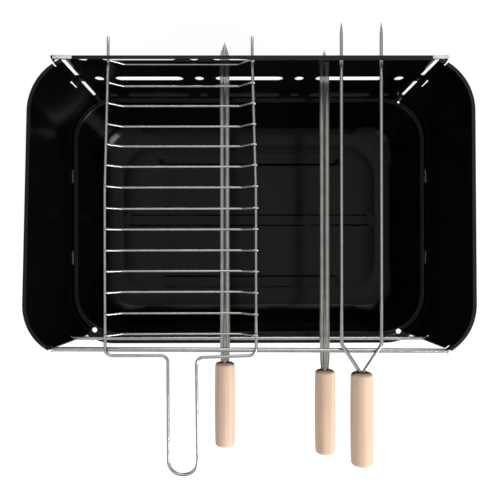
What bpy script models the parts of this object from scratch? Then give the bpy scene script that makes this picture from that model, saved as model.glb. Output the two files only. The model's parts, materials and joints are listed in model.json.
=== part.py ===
# Portable hibachi grill: a pressed fire tub on folding wire legs, a three-piece windshield
# with three rows of slots, two front rails, a wire grid, two skewers and a turning fork.
# Metres, +Z up, +X to the user's right, +Y to the rear. The origin is the centre of the
# bounding box, on the ground. Inside the root empty, Y = 0 is the middle of the tub.

from math import acos, cos, pi, radians, sin, sqrt, tan

import bmesh
import bpy
from mathutils import Matrix, Vector

# Sheet and clearances
SHEET = 0.001                # enamelled steel of the tub and the windshield
GAP = 0.0003                 # between two pieces that touch
SLIT_PLAY = 0.0004           # each side of a tab in its slit
PIVOT_PLAY = 0.0003          # around a leg end in its clip
BORE_PLAY = 0.0004           # around a tang in its handle

# Windshield, measured on the outer face of the wall
WALL_HALF_X = 0.218
WALL_HALF_Y = 0.1485
WALL_CORNER = 0.055
HEM = 0.004                  # outer face to the hem's edge, turned in along the top
FRONT_WRAP = radians(56)     # how far a side panel's top turns round its front corner
FOOT_WRAP = radians(62)      # and its foot, so that its front edge slants
REAR_WRAP = radians(66)      # and round its rear corner
CORNER_OPENING = 0.003       # between a side panel and the rear panel
REAR_INSET = 0.0015          # rear panel's outer face, inside the wall's rear line
HEM_SHORT = 0.005            # rear hem stops this far before each end of the panel

# Slot pattern of the rear panel
LOW_ROW = 0.0135             # lowest row's centre above the flange
ROW_PITCH = 0.057
TOP_MARGIN = 0.0075          # upper row's centre to the top edge
END_MARGIN = 0.0191          # last hole's centre to the panel's end
HOLE_D = 0.0095
SLOT_H = 0.0105
WEB = 0.0130                 # metal between a slot and the next hole

# Tabs that lock the panels together and to the flange
FOOT_TAB = 0.016
FOOT_DROP = 0.006
SIDE_TAB_Y = 0.050           # side panels: two foot tabs at plus and minus this
TOP_TAB = 0.0095             # height of the rear panel's upper corner tab
MID_TAB = 0.018
CORNER_SLIT = 0.0036         # width of the side panel's slit for a corner tab
CORNER_TAB_SHEET = 0.00096   # a hair thinner than the panel it joins
CORNER_SLIT_IN = 0.0044      # slit's middle from the side panel's end, along the arc

# Fire tub
FLANGE_IN = 0.0075           # from the wall's outer face inwards
FLANGE_OUT = 0.0075
FLANGE_LIP = 0.003
TUB_DEPTH = 0.070
TUB_DRAFT = radians(12)
RIM_BEND = 0.003
FLOOR_BEND = 0.030
GROOVE_W = 0.014
GROOVE_DEPTH = 0.002
GROOVE_MARGIN = 0.004        # long groove's end to the flat floor's edge
GROOVE_SHORTER = 0.045       # an outer groove is shorter at each end
GROOVE_EDGE_Y = 0.0185       # outer groove's middle to the flat floor's edge
CORNER_HOLE_D = 0.006
CORNER_HOLE_TURN = radians(67)
CORNER_HOLE_IN = 0.0025      # hole's centre inside the wall's outer face

# Front rails
RAIL_D = 0.004
RAIL_BACK = 0.0012           # rail's axis behind the side panels' front edges
RAIL_HEAD = 0.0018
RAIL_HEAD_SCALE = 1.5

# Grid
GRID_WIRE = 0.003
CROSS_WIRE = 0.002
CROSS_COUNT = 14
CROSS_DIP = 0.0075           # middle of a cross wire below the frame's axis
CROSS_SLOPE = 0.014          # length of its sloping ends
CROSS_PROUD = 0.0005         # a cross wire's end beyond the side wire
CROSS_FRONT = 0.0135         # last cross wire behind the upper rail
CROSS_REAR = 0.0014          # first cross wire in front of the rear panel
GRID_TAIL = 0.0225           # frame ends behind the rear panel
GRID_FLARE = 0.0035          # each side, from the rear slots to the straight part
GRID_TAPER_END = 0.130       # the straight part starts this far in front of the rear panel
GRID_RIGHT = 0.0027          # right side of the frame from the middle slot's centre
GRID_FRONT = 0.0064          # front wire in front of the upper rail
GRID_BEND = 0.007
LOOP_GAP = 0.028             # between the two legs of the handle loop
LOOP_LENGTH = 0.117
LOOP_ASIDE = 0.0013          # loop's middle from the middle of the frame

# Skewers and fork
BLADE_W = 0.0106
BLADE_RIDGE = 0.0026
BLADE_SHEET = 0.0009
BLADE_POINT = 0.016
BLADE_NECK = 0.015
TIP_HALF = 0.0006            # blade's half width at its very point
TIP_RIDGE = 0.0005
NECK_W = 0.0088
NECK_RIDGE = 0.0021
SKEWER_TAIL = 0.0405         # left skewer's point behind the rear panel
SKEWER_STEP = 0.0085         # right skewer is drawn out by this much
TANG_D = 0.004
TANG_IN = 0.040
SKEWER_GRIP = 0.0262         # handle's end in front of the rails
HANDLE_D = 0.0224
HANDLE_L = 0.0905
HANDLE_ROUND = 0.003
HANDLE_WAIST = 0.96          # radius near the ends over the radius in the middle
BORE_SPARE = 0.002           # bore beyond the tang's end
TINE_D = 0.0035
TINE_GAP = 0.0393
TINE_POINT = 0.012
FORK_TAIL = 0.0363
FORK_GRIP = 0.0235
FORK_SHOULDER = 0.004        # tines start to draw together this far behind the rails
FORK_BEND = 0.008
TINE_TIP = 0.15              # thickness left at a tine's point
HAIRPIN = 0.0038             # between the two wires inside the handle

# Legs
LEG_D = 0.006
LEG_L = 0.140                # pivot to the foot bar
LEG_SPLAY = radians(15)
LEG_IN = 0.013               # pivot to the start of the wall's corner
LEG_PIVOT_DROP = 0.008       # pivot below the flange's top face
LEG_BEND = 0.010
LEG_TOP_BEND = 0.0033        # below the pivot stub
LEG_CLEAR = 0.002            # leg wire to the tub's wall
LEG_HEAD = 0.0022
LEG_HEAD_SCALE = 1.35
CLIP_SHEET = 0.0012
CLIP_HALF = 0.0075
CLIP_DROP = 0.0125           # ear's lower edge below the flange's top face

# Derived places
FOOT_APOTHEM = LEG_D / 2 * cos(pi / 8)
RIM_Z = LEG_PIVOT_DROP + LEG_L * cos(LEG_SPLAY) + FOOT_APOTHEM
FOOT_Z = RIM_Z + GAP
ROWS_Z = [RIM_Z + LOW_ROW + row * ROW_PITCH for row in range(3)]
TOP_Z = ROWS_Z[2] + TOP_MARGIN
ARC_X = WALL_HALF_X - WALL_CORNER
ARC_Y = WALL_HALF_Y - WALL_CORNER
LEG_PIVOT_X = ARC_X - LEG_IN
REAR_Y = WALL_HALF_Y - REAR_INSET
SIDE_END_X = ARC_X + WALL_CORNER * cos(REAR_WRAP)
REAR_HALF_X = SIDE_END_X - CORNER_OPENING
SLOT_PITCH = 2 * (REAR_HALF_X - END_MARGIN) / 3
SLOT_L = SLOT_PITCH - HOLE_D - 2 * WEB
SLOT_FLAT = SLOT_L / 2 - SLOT_H / 2
FRONT_EDGE_Y = -(ARC_Y + WALL_CORNER * sin(FRONT_WRAP))
RAIL_Y = FRONT_EDGE_Y + RAIL_BACK
LOWER_REST_Z = ROWS_Z[1] - SLOT_H / 2
UPPER_REST_Z = ROWS_Z[2] - SLOT_H / 2
FLANGE_R = WALL_CORNER - FLANGE_IN
LEG_Y = WALL_HALF_Y - FLANGE_IN + SHEET + LEG_CLEAR + LEG_D / 2
SKEWER_HANDLE_Y = RAIL_Y - SKEWER_GRIP
FORK_HANDLE_Y = RAIL_Y - FORK_GRIP
LOOP_END_Y = RAIL_Y - GRID_FRONT - LOOP_LENGTH
FRONT_REACH = min(SKEWER_HANDLE_Y - SKEWER_STEP, FORK_HANDLE_Y, LOOP_END_Y + HANDLE_L) - HANDLE_L
REAR_REACH = REAR_Y + max(SKEWER_TAIL, FORK_TAIL, GRID_TAIL)
ORIGIN_SHIFT = -(FRONT_REACH + REAR_REACH) / 2


def clear_scene():
    for old in list(bpy.data.objects):
        bpy.data.objects.remove(old, do_unlink=True)


def new_collection(name):
    collection = bpy.data.collections.new(name)
    bpy.context.scene.collection.children.link(collection)
    return collection


def material(name, colour, roughness, metallic):
    made = bpy.data.materials.new(name)
    made.use_nodes = True
    shader = made.node_tree.nodes["Principled BSDF"]
    shader.inputs["Base Color"].default_value = (*colour, 1.0)
    shader.inputs["Roughness"].default_value = roughness
    shader.inputs["Metallic"].default_value = metallic
    return made


def empty(name, location, parent):
    pivot = bpy.data.objects.new(name, None)
    pivot.empty_display_size = 0.02
    pivot.parent = parent
    pivot.location = location
    grill.objects.link(pivot)
    return pivot


def finish_mesh(name, bm, finish, parent, collection):
    bmesh.ops.recalc_face_normals(bm, faces=bm.faces)
    return link_mesh(name, bm, finish, parent, collection)


def link_mesh(name, bm, finish, parent, collection):
    mesh = bpy.data.meshes.new(name)
    bm.to_mesh(mesh)
    bm.free()
    part = bpy.data.objects.new(name, mesh)
    collection.objects.link(part)
    part.parent = parent
    if finish:
        mesh.materials.append(finish)
    return part


def box_mesh(low, high):
    bm = bmesh.new()
    bmesh.ops.create_cube(bm, size=1.0)
    size = Vector(high) - Vector(low)
    middle = (Vector(high) + Vector(low)) / 2
    bmesh.ops.scale(bm, vec=size, verts=bm.verts)
    bmesh.ops.translate(bm, vec=middle, verts=bm.verts)
    return bm


def stadium_mesh(length, width, low, high, segments=16):
    # a cylinder along Z whose halves are drawn apart along X; equal sizes leave it round
    bm = bmesh.new()
    radius = width / 2 / cos(pi / segments)
    bmesh.ops.create_cone(bm, cap_ends=True, segments=segments, radius1=radius, radius2=radius,
                          depth=high - low, matrix=Matrix.Rotation(pi / segments, 4, "Z"))
    stretch = (length - width) / 2
    for vert in bm.verts:
        vert.co.x += stretch if vert.co.x > 0 else -stretch
        vert.co.z += (high + low) / 2
    return bm


def cutter_set(name):
    collection = bpy.data.collections.new(name)
    cutters.children.link(collection)
    return collection


def add_cutter(collection, bm, matrix=None):
    cutter = finish_mesh("cutter", bm, None, root, collection)
    if matrix is not None:
        cutter.matrix_local = matrix
    cutter.display_type = "WIRE"
    cutter.hide_render = True
    return cutter


def boolean(part, collection, operation):
    step = part.modifiers.new(collection.name, "BOOLEAN")
    step.operand_type = "COLLECTION"
    step.collection = collection
    step.operation = operation
    step.solver = "EXACT"
    return step


def solidify(part, thickness, side):
    step = part.modifiers.new("wall", "SOLIDIFY")
    step.thickness = thickness
    step.offset = side
    step.use_even_offset = True
    return step


def bent_sheet(name, columns, rows, place, facing, finish, thickness, side, closed=False):
    # a flat grid whose vertices are placed by rule: place(column, row) gives each one;
    # facing is the way that its first face looks;
    # a closed one is a pan, with its seam joined and its lowest ring filled
    bm = bmesh.new()
    bmesh.ops.create_grid(bm, x_segments=columns, y_segments=rows, size=1.0)
    for vert in bm.verts:
        column = round((vert.co.x + 1) / 2 * columns)
        row = round((vert.co.y + 1) / 2 * rows)
        vert.co = Vector(place(column, row))
    if closed:
        bmesh.ops.remove_doubles(bm, verts=bm.verts, dist=0.00001)
        lowest = min(vert.co.z for vert in bm.verts)
        ring = [edge for edge in bm.edges if edge.is_boundary and edge.verts[0].co.z < lowest + SHEET / 10]
        bmesh.ops.contextual_create(bm, geom=ring)
    bmesh.ops.recalc_face_normals(bm, faces=bm.faces)
    bm.faces.ensure_lookup_table()
    if bm.faces[0].normal.dot(Vector(facing)) < 0:
        bmesh.ops.reverse_faces(bm, faces=bm.faces)
    part = link_mesh(name, bm, finish, root, grill)
    solidify(part, thickness, side)
    return part


def filleted(corners, radius, steps=5):
    # a polyline with each inner corner replaced by an arc of the given radius
    points = [Vector(corners[0])]
    for before, corner, after in zip(corners, corners[1:], corners[2:]):
        corner = Vector(corner)
        back = (Vector(before) - corner).normalized()
        ahead = (Vector(after) - corner).normalized()
        half = acos(max(-1.0, min(1.0, back.dot(ahead)))) / 2
        centre = corner + (back + ahead).normalized() * (radius / sin(half))
        start = corner + back * (radius / tan(half)) - centre
        end = corner + ahead * (radius / tan(half)) - centre
        for step in range(steps + 1):
            points.append(centre + start.normalized().slerp(end.normalized(), step / steps) * radius)
    points.append(Vector(corners[-1]))
    return points


def wire(name, points, diameter, finish, parent, scales=None, roll=0.0):
    curve = bpy.data.curves.new(name, "CURVE")
    curve.dimensions = "3D"
    curve.bevel_depth = diameter / 2
    curve.bevel_resolution = 2
    curve.use_fill_caps = True
    spline = curve.splines.new("POLY")
    spline.points.add(len(points) - 1)
    for index, place in enumerate(points):
        spline.points[index].co = (*place, 1.0)
        spline.points[index].tilt = roll
        spline.points[index].radius = scales[index] if scales else 1.0
    curve.materials.append(finish)
    part = bpy.data.objects.new(name, curve)
    grill.objects.link(part)
    part.parent = parent
    return part


def rounded_corner(half_x, half_y, radius, column, per_corner):
    # a point of a rounded rectangle, counted round it from the rear right corner
    corner, step = divmod(column, per_corner + 1)
    corner %= 4
    centre_x = (half_x - radius) * (1 if corner in (0, 3) else -1)
    centre_y = (half_y - radius) * (1 if corner in (0, 1) else -1)
    angle = pi / 2 * (corner + step / per_corner)
    return centre_x + radius * cos(angle), centre_y + radius * sin(angle)


def make_tub():
    per_corner = 8
    columns = 4 * (per_corner + 1)
    rows = [(-FLANGE_IN - FLANGE_OUT, -FLANGE_LIP), (-FLANGE_IN - FLANGE_OUT, 0.0)]
    turn = pi / 2 - TUB_DRAFT
    for step in range(4):
        angle = turn * step / 3
        rows.append((RIM_BEND * sin(angle) - RIM_BEND * cos(TUB_DRAFT), RIM_BEND * (cos(angle) - 1)))
    rim_inset, rim_z = rows[-1]
    bend_top = -TUB_DEPTH + FLOOR_BEND * (1 - sin(TUB_DRAFT))
    wall_run = (rim_z - bend_top) * tan(TUB_DRAFT)
    for step in range(5):
        angle = turn * step / 4
        inset = rim_inset + wall_run + FLOOR_BEND * (cos(TUB_DRAFT) - cos(TUB_DRAFT + angle))
        drop = bend_top - FLOOR_BEND * (sin(TUB_DRAFT + angle) - sin(TUB_DRAFT))
        rows.append((inset, drop))
    inner_x = WALL_HALF_X - FLANGE_IN
    inner_y = WALL_HALF_Y - FLANGE_IN

    def place(column, row):
        inset, height = rows[row]
        radius = FLANGE_R - min(inset, 0.0)
        x, y = rounded_corner(inner_x - inset, inner_y - inset, radius, column, per_corner)
        return x, y, RIM_Z + height

    tub = bent_sheet("fire_tub", columns, len(rows) - 1, place, (1, 0, 0), enamel, SHEET, -1, closed=True)
    floor_z = RIM_Z - TUB_DEPTH
    flat_x = inner_x - rows[-1][0]
    flat_y = inner_y - rows[-1][0]
    troughs = cutter_set("groove_undersides")
    grooves = cutter_set("grooves")
    for side in (-1, 0, 1):
        length = 2 * (flat_x - GROOVE_MARGIN - abs(side) * GROOVE_SHORTER)
        move = Matrix.Translation((0, side * (flat_y - GROOVE_EDGE_Y), floor_z))
        low = -GROOVE_DEPTH - SHEET
        add_cutter(troughs, stadium_mesh(length + 2 * SHEET, GROOVE_W + 2 * SHEET, low, -SHEET / 2), move)
        add_cutter(grooves, stadium_mesh(length, GROOVE_W, -GROOVE_DEPTH, SHEET), move)
    boolean(tub, troughs, "UNION")
    slits = cutter_set("flange_cuts")
    for centre, half in foot_tabs():
        grow = Vector((SLIT_PLAY, SLIT_PLAY, 0))
        low = Vector((*centre, RIM_Z - 3 * SHEET)) - Vector((*half, 0)) - grow
        high = Vector((*centre, RIM_Z + SHEET)) + Vector((*half, 0)) + grow
        add_cutter(slits, box_mesh(low, high))
    for x_side in (-1, 1):
        for y_side in (-1, 1):
            x = x_side * (ARC_X + (WALL_CORNER - CORNER_HOLE_IN) * cos(CORNER_HOLE_TURN))
            y = y_side * (ARC_Y + (WALL_CORNER - CORNER_HOLE_IN) * sin(CORNER_HOLE_TURN))
            move = Matrix.Translation((x, y, RIM_Z))
            add_cutter(slits, stadium_mesh(CORNER_HOLE_D, CORNER_HOLE_D, -3 * SHEET, SHEET), move)
    boolean(tub, grooves, "DIFFERENCE")
    boolean(tub, slits, "DIFFERENCE")
    return tub


def foot_tabs():
    # middle and half size, in plan, of every tab that goes down through the flange
    tabs = []
    for side in (-1, 1):
        x = side * (WALL_HALF_X - SHEET / 2)
        for y in (-SIDE_TAB_Y, SIDE_TAB_Y):
            tabs.append(((x, y), (SHEET / 2, FOOT_TAB / 2)))
    for step in (-1, 0, 1):
        tabs.append(((step * SLOT_PITCH, REAR_Y - SHEET / 2), (FOOT_TAB / 2, SHEET / 2)))
    return tabs


def add_foot_tabs(part, name, tabs):
    feet = cutter_set(name)
    shave = SHEET / 10
    for (x, y), (half_x, half_y) in tabs:
        low = (x - half_x + shave, y - half_y + shave, RIM_Z - FOOT_DROP)
        high = (x + half_x - shave, y + half_y - shave, FOOT_Z + FOOT_DROP)
        add_cutter(feet, box_mesh(low, high))
    boolean(part, feet, "UNION")


def side_panel_point(side, inset, column, arc_columns, front_wrap):
    # plan point of a side panel, counted from its front edge to its rear edge
    radius = WALL_CORNER - inset
    if column <= arc_columns:
        angle = -front_wrap * (1 - column / arc_columns)
        return side * (ARC_X + radius * cos(angle)), -ARC_Y + radius * sin(angle)
    angle = REAR_WRAP * (column - arc_columns - 1) / arc_columns
    return side * (ARC_X + radius * cos(angle)), ARC_Y + radius * sin(angle)


def make_side_panel(side):
    name = "right_side_panel" if side > 0 else "left_side_panel"
    arc_columns = 10
    rows = [(0.0, FOOT_Z), (0.0, TOP_Z), (HEM, TOP_Z)]

    def place(column, row):
        inset, height = rows[row]
        front_wrap = FRONT_WRAP if row else FOOT_WRAP
        return *side_panel_point(side, inset, column, arc_columns, front_wrap), height

    panel = bent_sheet(name, 2 * arc_columns + 1, 2, place, (side, 0, 0), enamel, SHEET, -1)
    cuts = cutter_set(name + "_cuts")
    seat = RAIL_D / 2 + GAP
    for height in (lower_rail_z, upper_rail_z):
        low = (side * WALL_HALF_X, RAIL_Y - 3 * RAIL_D, height - seat)
        high = (side * (ARC_X - WALL_CORNER / 2), RAIL_Y + seat, height + seat)
        add_cutter(cuts, box_mesh(low, high))
    for bottom, top in corner_tab_spans():
        angle = slit_angle()
        half = CORNER_SLIT / 2
        bm = box_mesh((-3 * HEM, -half, bottom - GAP), (2 * HEM, half, top + GAP + 2 * SHEET))
        turn = angle if side > 0 else pi - angle
        centre = Vector((side * (ARC_X + WALL_CORNER * cos(angle)), ARC_Y + WALL_CORNER * sin(angle), 0))
        add_cutter(cuts, bm, Matrix.Translation(centre) @ Matrix.Rotation(turn, 4, "Z"))
    boolean(panel, cuts, "DIFFERENCE")
    add_foot_tabs(panel, name + "_feet", [tab for tab in foot_tabs() if tab[0][0] * side > ARC_X])
    return panel


def slit_angle():
    return REAR_WRAP - CORNER_SLIT_IN / WALL_CORNER


def corner_tab_spans():
    middle = ROWS_Z[1] + SHEET
    return [(middle - MID_TAB / 2, middle + MID_TAB / 2), (TOP_Z - TOP_TAB, TOP_Z)]


def make_rear_panel():
    face = REAR_Y
    rows = [(0.0, FOOT_Z), (0.0, TOP_Z)]

    def place(column, row):
        inset, height = rows[row]
        return (column * 2 - 1) * REAR_HALF_X, face - inset, height

    panel = bent_sheet("rear_panel", 1, 1, place, (0, 1, 0), enamel, SHEET, -1)
    extras = cutter_set("rear_panel_additions")
    hem_half = REAR_HALF_X - HEM_SHORT
    hem = box_mesh((-hem_half, face - HEM, TOP_Z - SHEET), (hem_half, face - SHEET / 2, TOP_Z))
    add_cutter(extras, hem)
    for side in (-1, 1):
        for bottom, top in corner_tab_spans():
            add_corner_tab(extras, side, bottom, top)
    boolean(panel, extras, "UNION")
    cuts = cutter_set("rear_panel_slots")
    upright = Matrix.Rotation(pi / 2, 4, "X")
    for height in ROWS_Z:
        for step in range(-3, 4):
            length, width = (HOLE_D, HOLE_D) if step % 2 else (SLOT_L, SLOT_H)
            move = Matrix.Translation((step * SLOT_PITCH / 2, face, height)) @ upright
            add_cutter(cuts, stadium_mesh(length, width, -3 * SHEET, 3 * SHEET), move)
    boolean(panel, cuts, "DIFFERENCE")
    add_foot_tabs(panel, "rear_panel_feet", [tab for tab in foot_tabs() if abs(tab[0][0]) < ARC_X])
    return panel


def add_corner_tab(collection, side, bottom, top):
    # corner tab: straight on past the side panel's end, then hooked in through its slit
    angle = slit_angle()
    outward = Vector((cos(angle), sin(angle)))
    arc = Vector((ARC_X, ARC_Y))
    line_y = REAR_Y - SHEET / 2
    inner_end = arc + outward * (WALL_CORNER - 2.5 * SHEET)
    outer_bend = inner_end + outward * ((line_y - inner_end.y) / outward.y)
    start_x = REAR_HALF_X - 2 * SHEET
    corners = [(start_x, line_y, 0), (outer_bend.x, line_y, 0), (inner_end.x, inner_end.y, 0)]
    path = filleted(corners, SHEET, 3)
    bm = bmesh.new()
    verts = [bm.verts.new((side * point.x, point.y, bottom)) for point in path]
    edges = [bm.edges.new(pair) for pair in zip(verts, verts[1:])]
    raised = bmesh.ops.extrude_edge_only(bm, edges=edges)
    lifted = [item for item in raised["geom"] if isinstance(item, bmesh.types.BMVert)]
    bmesh.ops.translate(bm, vec=(0, 0, top - bottom), verts=lifted)
    strip = add_cutter(collection, bm)
    solidify(strip, CORNER_TAB_SHEET, 0)


def make_rail(name, height):
    head_r = RAIL_D / 2 * RAIL_HEAD_SCALE
    reach = ARC_X + sqrt(WALL_CORNER ** 2 - (abs(RAIL_Y) - ARC_Y - head_r) ** 2) + 2 * GAP
    stations = [-reach - RAIL_HEAD, -reach, -reach + GAP, reach - GAP, reach, reach + RAIL_HEAD]
    points = [(x, RAIL_Y, height) for x in stations]
    scales = [RAIL_HEAD_SCALE, RAIL_HEAD_SCALE, 1, 1, RAIL_HEAD_SCALE, RAIL_HEAD_SCALE]
    return wire(name, points, RAIL_D, zinc, root, scales)


def grid_side_x(side, y):
    # the frame's side wires run straight, then draw together towards the rear slots
    rear_left = -SLOT_PITCH - SLOT_FLAT + GRID_WIRE / 2
    rear_right = GRID_RIGHT
    start = REAR_Y - GRID_TAPER_END
    share = max(0.0, min(1.0, (REAR_Y - y) / (REAR_Y - start)))
    if side < 0:
        return rear_left - GRID_FLARE * share
    return rear_right + GRID_FLARE * share


def make_grid(pivot):
    z = 0.0
    rear = REAR_Y + GRID_TAIL
    taper = REAR_Y - GRID_TAPER_END
    front = RAIL_Y - GRID_FRONT
    left = grid_side_x(-1, front)
    right = grid_side_x(1, front)
    middle = (left + right) / 2 + LOOP_ASIDE
    loop_end = front - LOOP_LENGTH
    half_gap = LOOP_GAP / 2
    corners = [
        (grid_side_x(-1, REAR_Y), rear, z), (grid_side_x(-1, REAR_Y), REAR_Y, z), (left, taper, z),
        (left, front, z), (middle - half_gap, front, z), (middle - half_gap, loop_end, z),
        (middle + half_gap, loop_end, z), (middle + half_gap, front, z), (right, front, z),
        (right, taper, z), (grid_side_x(1, REAR_Y), REAR_Y, z), (grid_side_x(1, REAR_Y), rear, z)]
    points = filleted(corners, GRID_BEND, 5)
    offset = Vector(pivot.location)
    frame_points = [point - Vector((offset.x, offset.y, 0)) for point in points]
    wire("grid_frame", frame_points, GRID_WIRE, zinc, pivot)
    first = REAR_Y - SHEET - CROSS_REAR
    last = RAIL_Y + CROSS_FRONT
    lap = (GRID_WIRE + CROSS_WIRE) / 2 + GAP
    for number in range(CROSS_COUNT):
        y = first + (last - first) * number / (CROSS_COUNT - 1)
        x_left = grid_side_x(-1, y)
        x_right = grid_side_x(1, y)
        over = CROSS_PROUD + GRID_WIRE / 2
        ends = GRID_WIRE / 2 + CROSS_WIRE / 2
        corners = [
            (x_left - over, y, lap), (x_left + ends, y, lap), (x_left + CROSS_SLOPE, y, -CROSS_DIP),
            (x_right - CROSS_SLOPE, y, -CROSS_DIP), (x_right - ends, y, lap), (x_right + over, y, lap)]
        points = [point - Vector((offset.x, offset.y, 0)) for point in filleted(corners, CROSS_WIRE, 1)]
        wire(f"grid_wire_{number + 1:02d}", points, CROSS_WIRE, zinc, pivot)


def make_handle(name, pivot, y, x, z, bore_d, bore_depth):
    radius = HANDLE_D / 2
    bore = bore_d / 2 + BORE_PLAY
    waist = radius * HANDLE_WAIST
    profile = [(0.0, -bore_depth), (bore, -bore_depth), (bore, 0.0), (waist - HANDLE_ROUND, 0.0)]
    for step in range(1, 4):
        angle = pi / 2 * step / 3
        profile.append((waist - HANDLE_ROUND * (1 - sin(angle)), -HANDLE_ROUND * (1 - cos(angle))))
    profile.append((radius, -HANDLE_L / 2))
    for step in range(4):
        angle = pi / 2 * step / 3
        rounded = waist - HANDLE_ROUND * (1 - cos(angle))
        profile.append((rounded, -HANDLE_L + HANDLE_ROUND * (1 - sin(angle))))
    profile.append((0.0, -HANDLE_L))
    bm = bmesh.new()
    verts = [bm.verts.new((r, 0, height)) for r, height in profile]
    for pair in zip(verts, verts[1:]):
        bm.edges.new(pair)
    handle = finish_mesh(name, bm, beech, pivot, grill)
    handle.location = Vector((x, y, z)) - pivot.location
    handle.rotation_euler = (-pi / 2, 0, 0)
    screw = handle.modifiers.new("turning", "SCREW")
    screw.steps = 20
    screw.render_steps = 20
    screw.use_merge_vertices = True
    screw.merge_threshold = 0.00001
    screw.use_smooth_shade = True
    return handle


def make_skewer(label, x, pulled, pivot):
    handle_y = SKEWER_HANDLE_Y - pulled
    tip_y = REAR_Y + SKEWER_TAIL - pulled
    offset = pivot.location
    stations = [
        (tip_y, TIP_HALF, TIP_RIDGE), (tip_y - BLADE_POINT, BLADE_W / 2, BLADE_RIDGE),
        (handle_y + GAP + BLADE_NECK, BLADE_W / 2, BLADE_RIDGE), (handle_y + GAP, NECK_W / 2, NECK_RIDGE)]

    def place(column, row):
        y, half, ridge = stations[row]
        return x + (column - 1) * half - offset.x, y - offset.y, (ridge if column == 1 else 0.0)

    blade = bent_sheet(f"{label}_skewer_blade", 2, 3, place, (0, 0, 1), steel, BLADE_SHEET, 1)
    blade.parent = pivot
    tang = cutter_set(f"{label}_tang")
    tang_z = TANG_D / 2
    rod = stadium_mesh(TANG_D, TANG_D, handle_y - TANG_IN, handle_y + BLADE_NECK / 2, 8)
    bmesh.ops.rotate(rod, cent=(0, 0, 0), matrix=Matrix.Rotation(-pi / 2, 3, "X"), verts=rod.verts)
    move = Matrix.Translation((x, 0, offset.z + tang_z))
    add_cutter(tang, rod, move)
    boolean(blade, tang, "UNION")
    handle_name = f"{label}_skewer_handle"
    make_handle(handle_name, pivot, handle_y, x, offset.z + tang_z, TANG_D, TANG_IN + BORE_SPARE)


def make_fork(x, pivot):
    offset = pivot.location
    tip = REAR_Y + FORK_TAIL
    shoulder = RAIL_Y + FORK_SHOULDER
    neck = FORK_HANDLE_Y + GAP
    end = FORK_HANDLE_Y - TANG_IN
    half = TINE_GAP / 2
    pin = HAIRPIN / 2
    side_corners = [(-half, tip - TINE_POINT, 0), (-half, shoulder, 0), (-pin, neck, 0), (-pin, end, 0)]
    shaft = filleted(side_corners, FORK_BEND, 5)
    turns = [pi * step / 6 for step in range(1, 6)]
    hairpin = [Vector((-pin * cos(turn), end - pin * sin(turn), 0)) for turn in turns]
    back = [Vector((-point.x, point.y, 0)) for point in reversed(shaft)]
    points = [Vector((-half, tip, 0))] + shaft + hairpin + back + [Vector((half, tip, 0))]
    scales = [TINE_TIP] + [1.0] * (len(points) - 2) + [TINE_TIP]
    placed = [point + Vector((x - offset.x, -offset.y, 0)) for point in points]
    wire("fork_wire", placed, TINE_D, zinc, pivot, scales)
    bore_depth = TANG_IN + (HAIRPIN + TINE_D) / 2 + BORE_SPARE
    make_handle("fork_handle", pivot, FORK_HANDLE_Y, x, offset.z, HAIRPIN + TINE_D, bore_depth)


def make_leg(label, side, pivot):
    stub = LEG_Y + LEG_D / 2 + GAP + CLIP_SHEET + 2 * GAP
    head = stub + LEG_HEAD
    corners = [(0, LEG_Y, 0), (0, LEG_Y, -LEG_L), (0, -LEG_Y, -LEG_L), (0, -LEG_Y, 0)]
    top_bend = filleted([(0, head, 0), corners[0], (0, LEG_Y, -LEG_L / 2)], LEG_TOP_BEND, 4)[1:-1]
    foot = filleted(corners, LEG_BEND, 6)[1:-1]
    far_bend = [Vector((0, -point.y, point.z)) for point in reversed(top_bend)]
    starts = [Vector((0, head, 0)), Vector((0, stub, 0)), Vector((0, stub - GAP, 0))]
    ends = [Vector((0, -point.y, 0)) for point in reversed(starts)]
    points = starts + top_bend + foot + far_bend + ends
    heads = [LEG_HEAD_SCALE, LEG_HEAD_SCALE, 1.0]
    scales = heads + [1.0] * (len(points) - 6) + heads[::-1]
    leg = wire(f"{label}_leg", points, LEG_D, zinc, pivot, scales, roll=pi / 8 - LEG_SPLAY)
    leg.rotation_euler = (0, -LEG_SPLAY, 0 if side > 0 else pi)
    return leg


def make_clip(name, side, end):
    # top plate under the flange, an ear outside the leg and a stop that limits the splay
    x = side * LEG_PIVOT_X
    top = RIM_Z - SHEET - GAP
    ear_in = LEG_Y + LEG_D / 2 + GAP
    ear_out = ear_in + CLIP_SHEET
    plate_in = LEG_Y - LEG_D / 2
    bottom = RIM_Z - CLIP_DROP

    def span(x_low, x_high, y_low, y_high, z_low, z_high):
        low_y, high_y = sorted((end * y_low, end * y_high))
        low_x, high_x = sorted((x + side * x_low, x + side * x_high))
        return box_mesh((low_x, low_y, z_low), (high_x, high_y, z_high))

    plate = span(-CLIP_HALF, CLIP_HALF, plate_in, ear_out, top - CLIP_SHEET, top)
    clip = finish_mesh(name, plate, zinc, root, grill)
    walls = cutter_set(name + "_walls")
    add_cutter(walls, span(-CLIP_HALF, CLIP_HALF, ear_in, ear_out, bottom, top - CLIP_SHEET / 2))
    stop_in = (CLIP_DROP - LEG_PIVOT_DROP) * tan(LEG_SPLAY) + LEG_D / 2 / cos(LEG_SPLAY) + GAP
    stop_span = (stop_in, stop_in + CLIP_SHEET, plate_in, ear_out - CLIP_SHEET / 3)
    add_cutter(walls, span(*stop_span, bottom + GAP, top - CLIP_SHEET / 3))
    boolean(clip, walls, "UNION")
    hole = cutter_set(name + "_hole")
    drill = stadium_mesh(LEG_D + 2 * PIVOT_PLAY, LEG_D + 2 * PIVOT_PLAY, -3 * CLIP_SHEET, 3 * CLIP_SHEET)
    move = Matrix.Translation((x, end * ear_in, RIM_Z - LEG_PIVOT_DROP)) @ Matrix.Rotation(pi / 2, 4, "X")
    add_cutter(hole, drill, move)
    boolean(clip, hole, "DIFFERENCE")
    return clip


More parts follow.
